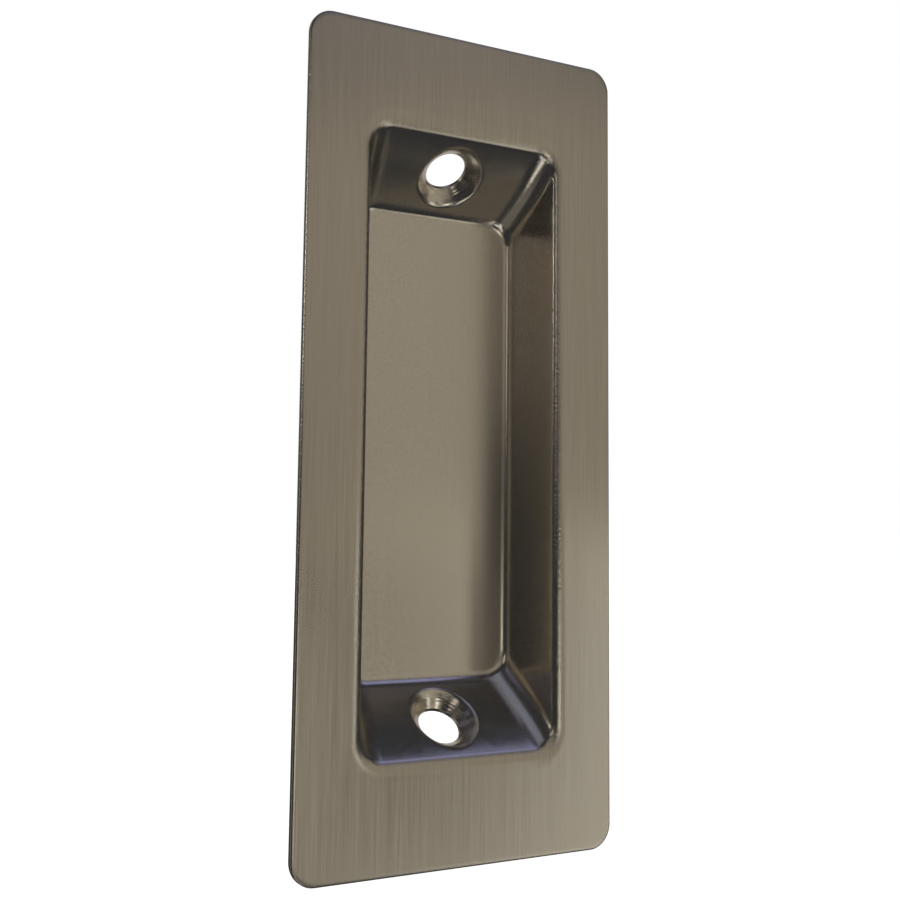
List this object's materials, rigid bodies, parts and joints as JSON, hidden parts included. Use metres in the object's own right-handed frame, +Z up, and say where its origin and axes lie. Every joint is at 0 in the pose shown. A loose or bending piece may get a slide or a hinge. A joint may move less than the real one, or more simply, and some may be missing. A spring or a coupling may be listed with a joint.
{
  "type": "flush finger pull",
  "caption": "Rectangular flush finger pull pressed from one sheet, with a tapered finger recess and a dimpled countersunk screw hole in each sloping end wall.",
  "frame": {"origin": "middle of the flange's back plane, which lies on the door's face, on the axis of the pocket that takes the recess", "axes": "+Z up the plate's long side, +X to the right as the plate is faced, +Y into the door; the flange's front faces -Y"},
  "size_m": [0.044, 0.0099, 0.102],
  "materials": {
    "satin_nickel": "satin nickel, brushed along the plate on the flange"
  },
  "bodies": {
    "root": {"pull_plate": "satin_nickel"}
  },
  "joints": []
}
